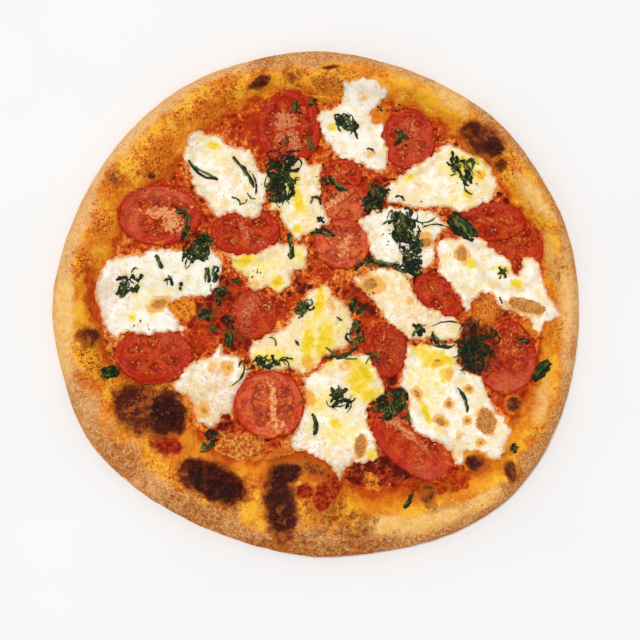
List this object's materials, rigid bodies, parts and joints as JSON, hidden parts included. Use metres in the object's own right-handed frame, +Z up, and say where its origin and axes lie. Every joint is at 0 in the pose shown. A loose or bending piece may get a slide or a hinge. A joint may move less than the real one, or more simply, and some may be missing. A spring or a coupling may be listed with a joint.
{
  "type": "margherita pizza",
  "caption": "Round baked pizza with a puffed, blistered crust, tomato sauce, tomato slices, melted mozzarella and shredded basil.",
  "frame": {"origin": "middle of the flat underside of the crust, on the surface that the pizza rests on", "axes": "+Z up through the toppings; +Y towards the side with the mozzarella patch that runs up onto the rim, opposite the large charred blister; +X to the right of it as seen from above"},
  "size_m": [0.3164, 0.3039, 0.0267],
  "materials": {
    "baked_crust": "baked dough: golden to pale tan with brown and charred blisters, dusted with fine semolina, oily inside the rim",
    "tomato_sauce": "wet cooked tomato sauce with orange oil and granules",
    "tomato_flesh": "roasted tomato slice, wet flesh with seed pockets",
    "melted_mozzarella": "melted fresh mozzarella with small browned spots and pools of yellow oil",
    "basil_green": "wilted shredded basil leaf"
  },
  "bodies": {
    "root": {"crust": "baked_crust", "sauce": "tomato_sauce", "tomato_slice_01": "tomato_flesh", "tomato_slice_02": "tomato_flesh", "tomato_slice_03": "tomato_flesh", "tomato_slice_04": "tomato_flesh", "tomato_slice_05": "tomato_flesh", "tomato_slice_06": "tomato_flesh", "tomato_slice_07": "tomato_flesh", "tomato_slice_08": "tomato_flesh", "tomato_slice_09": "tomato_flesh", "tomato_slice_10": "tomato_flesh", "tomato_slice_11": "tomato_flesh", "tomato_slice_12": "tomato_flesh", "tomato_slice_13": "tomato_flesh", "tomato_slice_14": "tomato_flesh", "tomato_slice_15": "tomato_flesh", "tomato_slice_16": "tomato_flesh", "mozzarella_01": "melted_mozzarella", "mozzarella_02": "melted_mozzarella", "mozzarella_03": "melted_mozzarella", "mozzarella_04": "melted_mozzarella", "mozzarella_05": "melted_mozzarella", "mozzarella_06": "melted_mozzarella", "mozzarella_07": "melted_mozzarella", "mozzarella_08": "melted_mozzarella", "mozzarella_09": "melted_mozzarella", "mozzarella_10": "melted_mozzarella", "mozzarella_11": "melted_mozzarella", "mozzarella_12": "melted_mozzarella", "mozzarella_13": "melted_mozzarella", "basil_tuft_01": "basil_green", "basil_tuft_02": "basil_green", "basil_tuft_03": "basil_green", "basil_tuft_04": "basil_green", "basil_tuft_05": "basil_green", "basil_tuft_06": "basil_green", "basil_tuft_07": "basil_green", "basil_tuft_08": "basil_green", "basil_tuft_09": "basil_green", "basil_tuft_10": "basil_green", "basil_tuft_11": "basil_green", "basil_tuft_12": "basil_green", "basil_tuft_13": "basil_green", "basil_tuft_14": "basil_green", "basil_tuft_15": "basil_green", "basil_tuft_16": "basil_green", "basil_strip_01": "basil_green", "basil_strip_02": "basil_green", "basil_strip_03": "basil_green", "basil_strip_04": "basil_green", "basil_strip_05": "basil_green", "basil_strip_06": "basil_green", "basil_strip_07": "basil_green", "basil_strip_08": "basil_green", "basil_strip_09": "basil_green", "basil_strip_10": "basil_green", "basil_strip_11": "basil_green", "basil_leaf_01": "basil_green", "basil_leaf_02": "basil_green"}
  },
  "joints": []
}
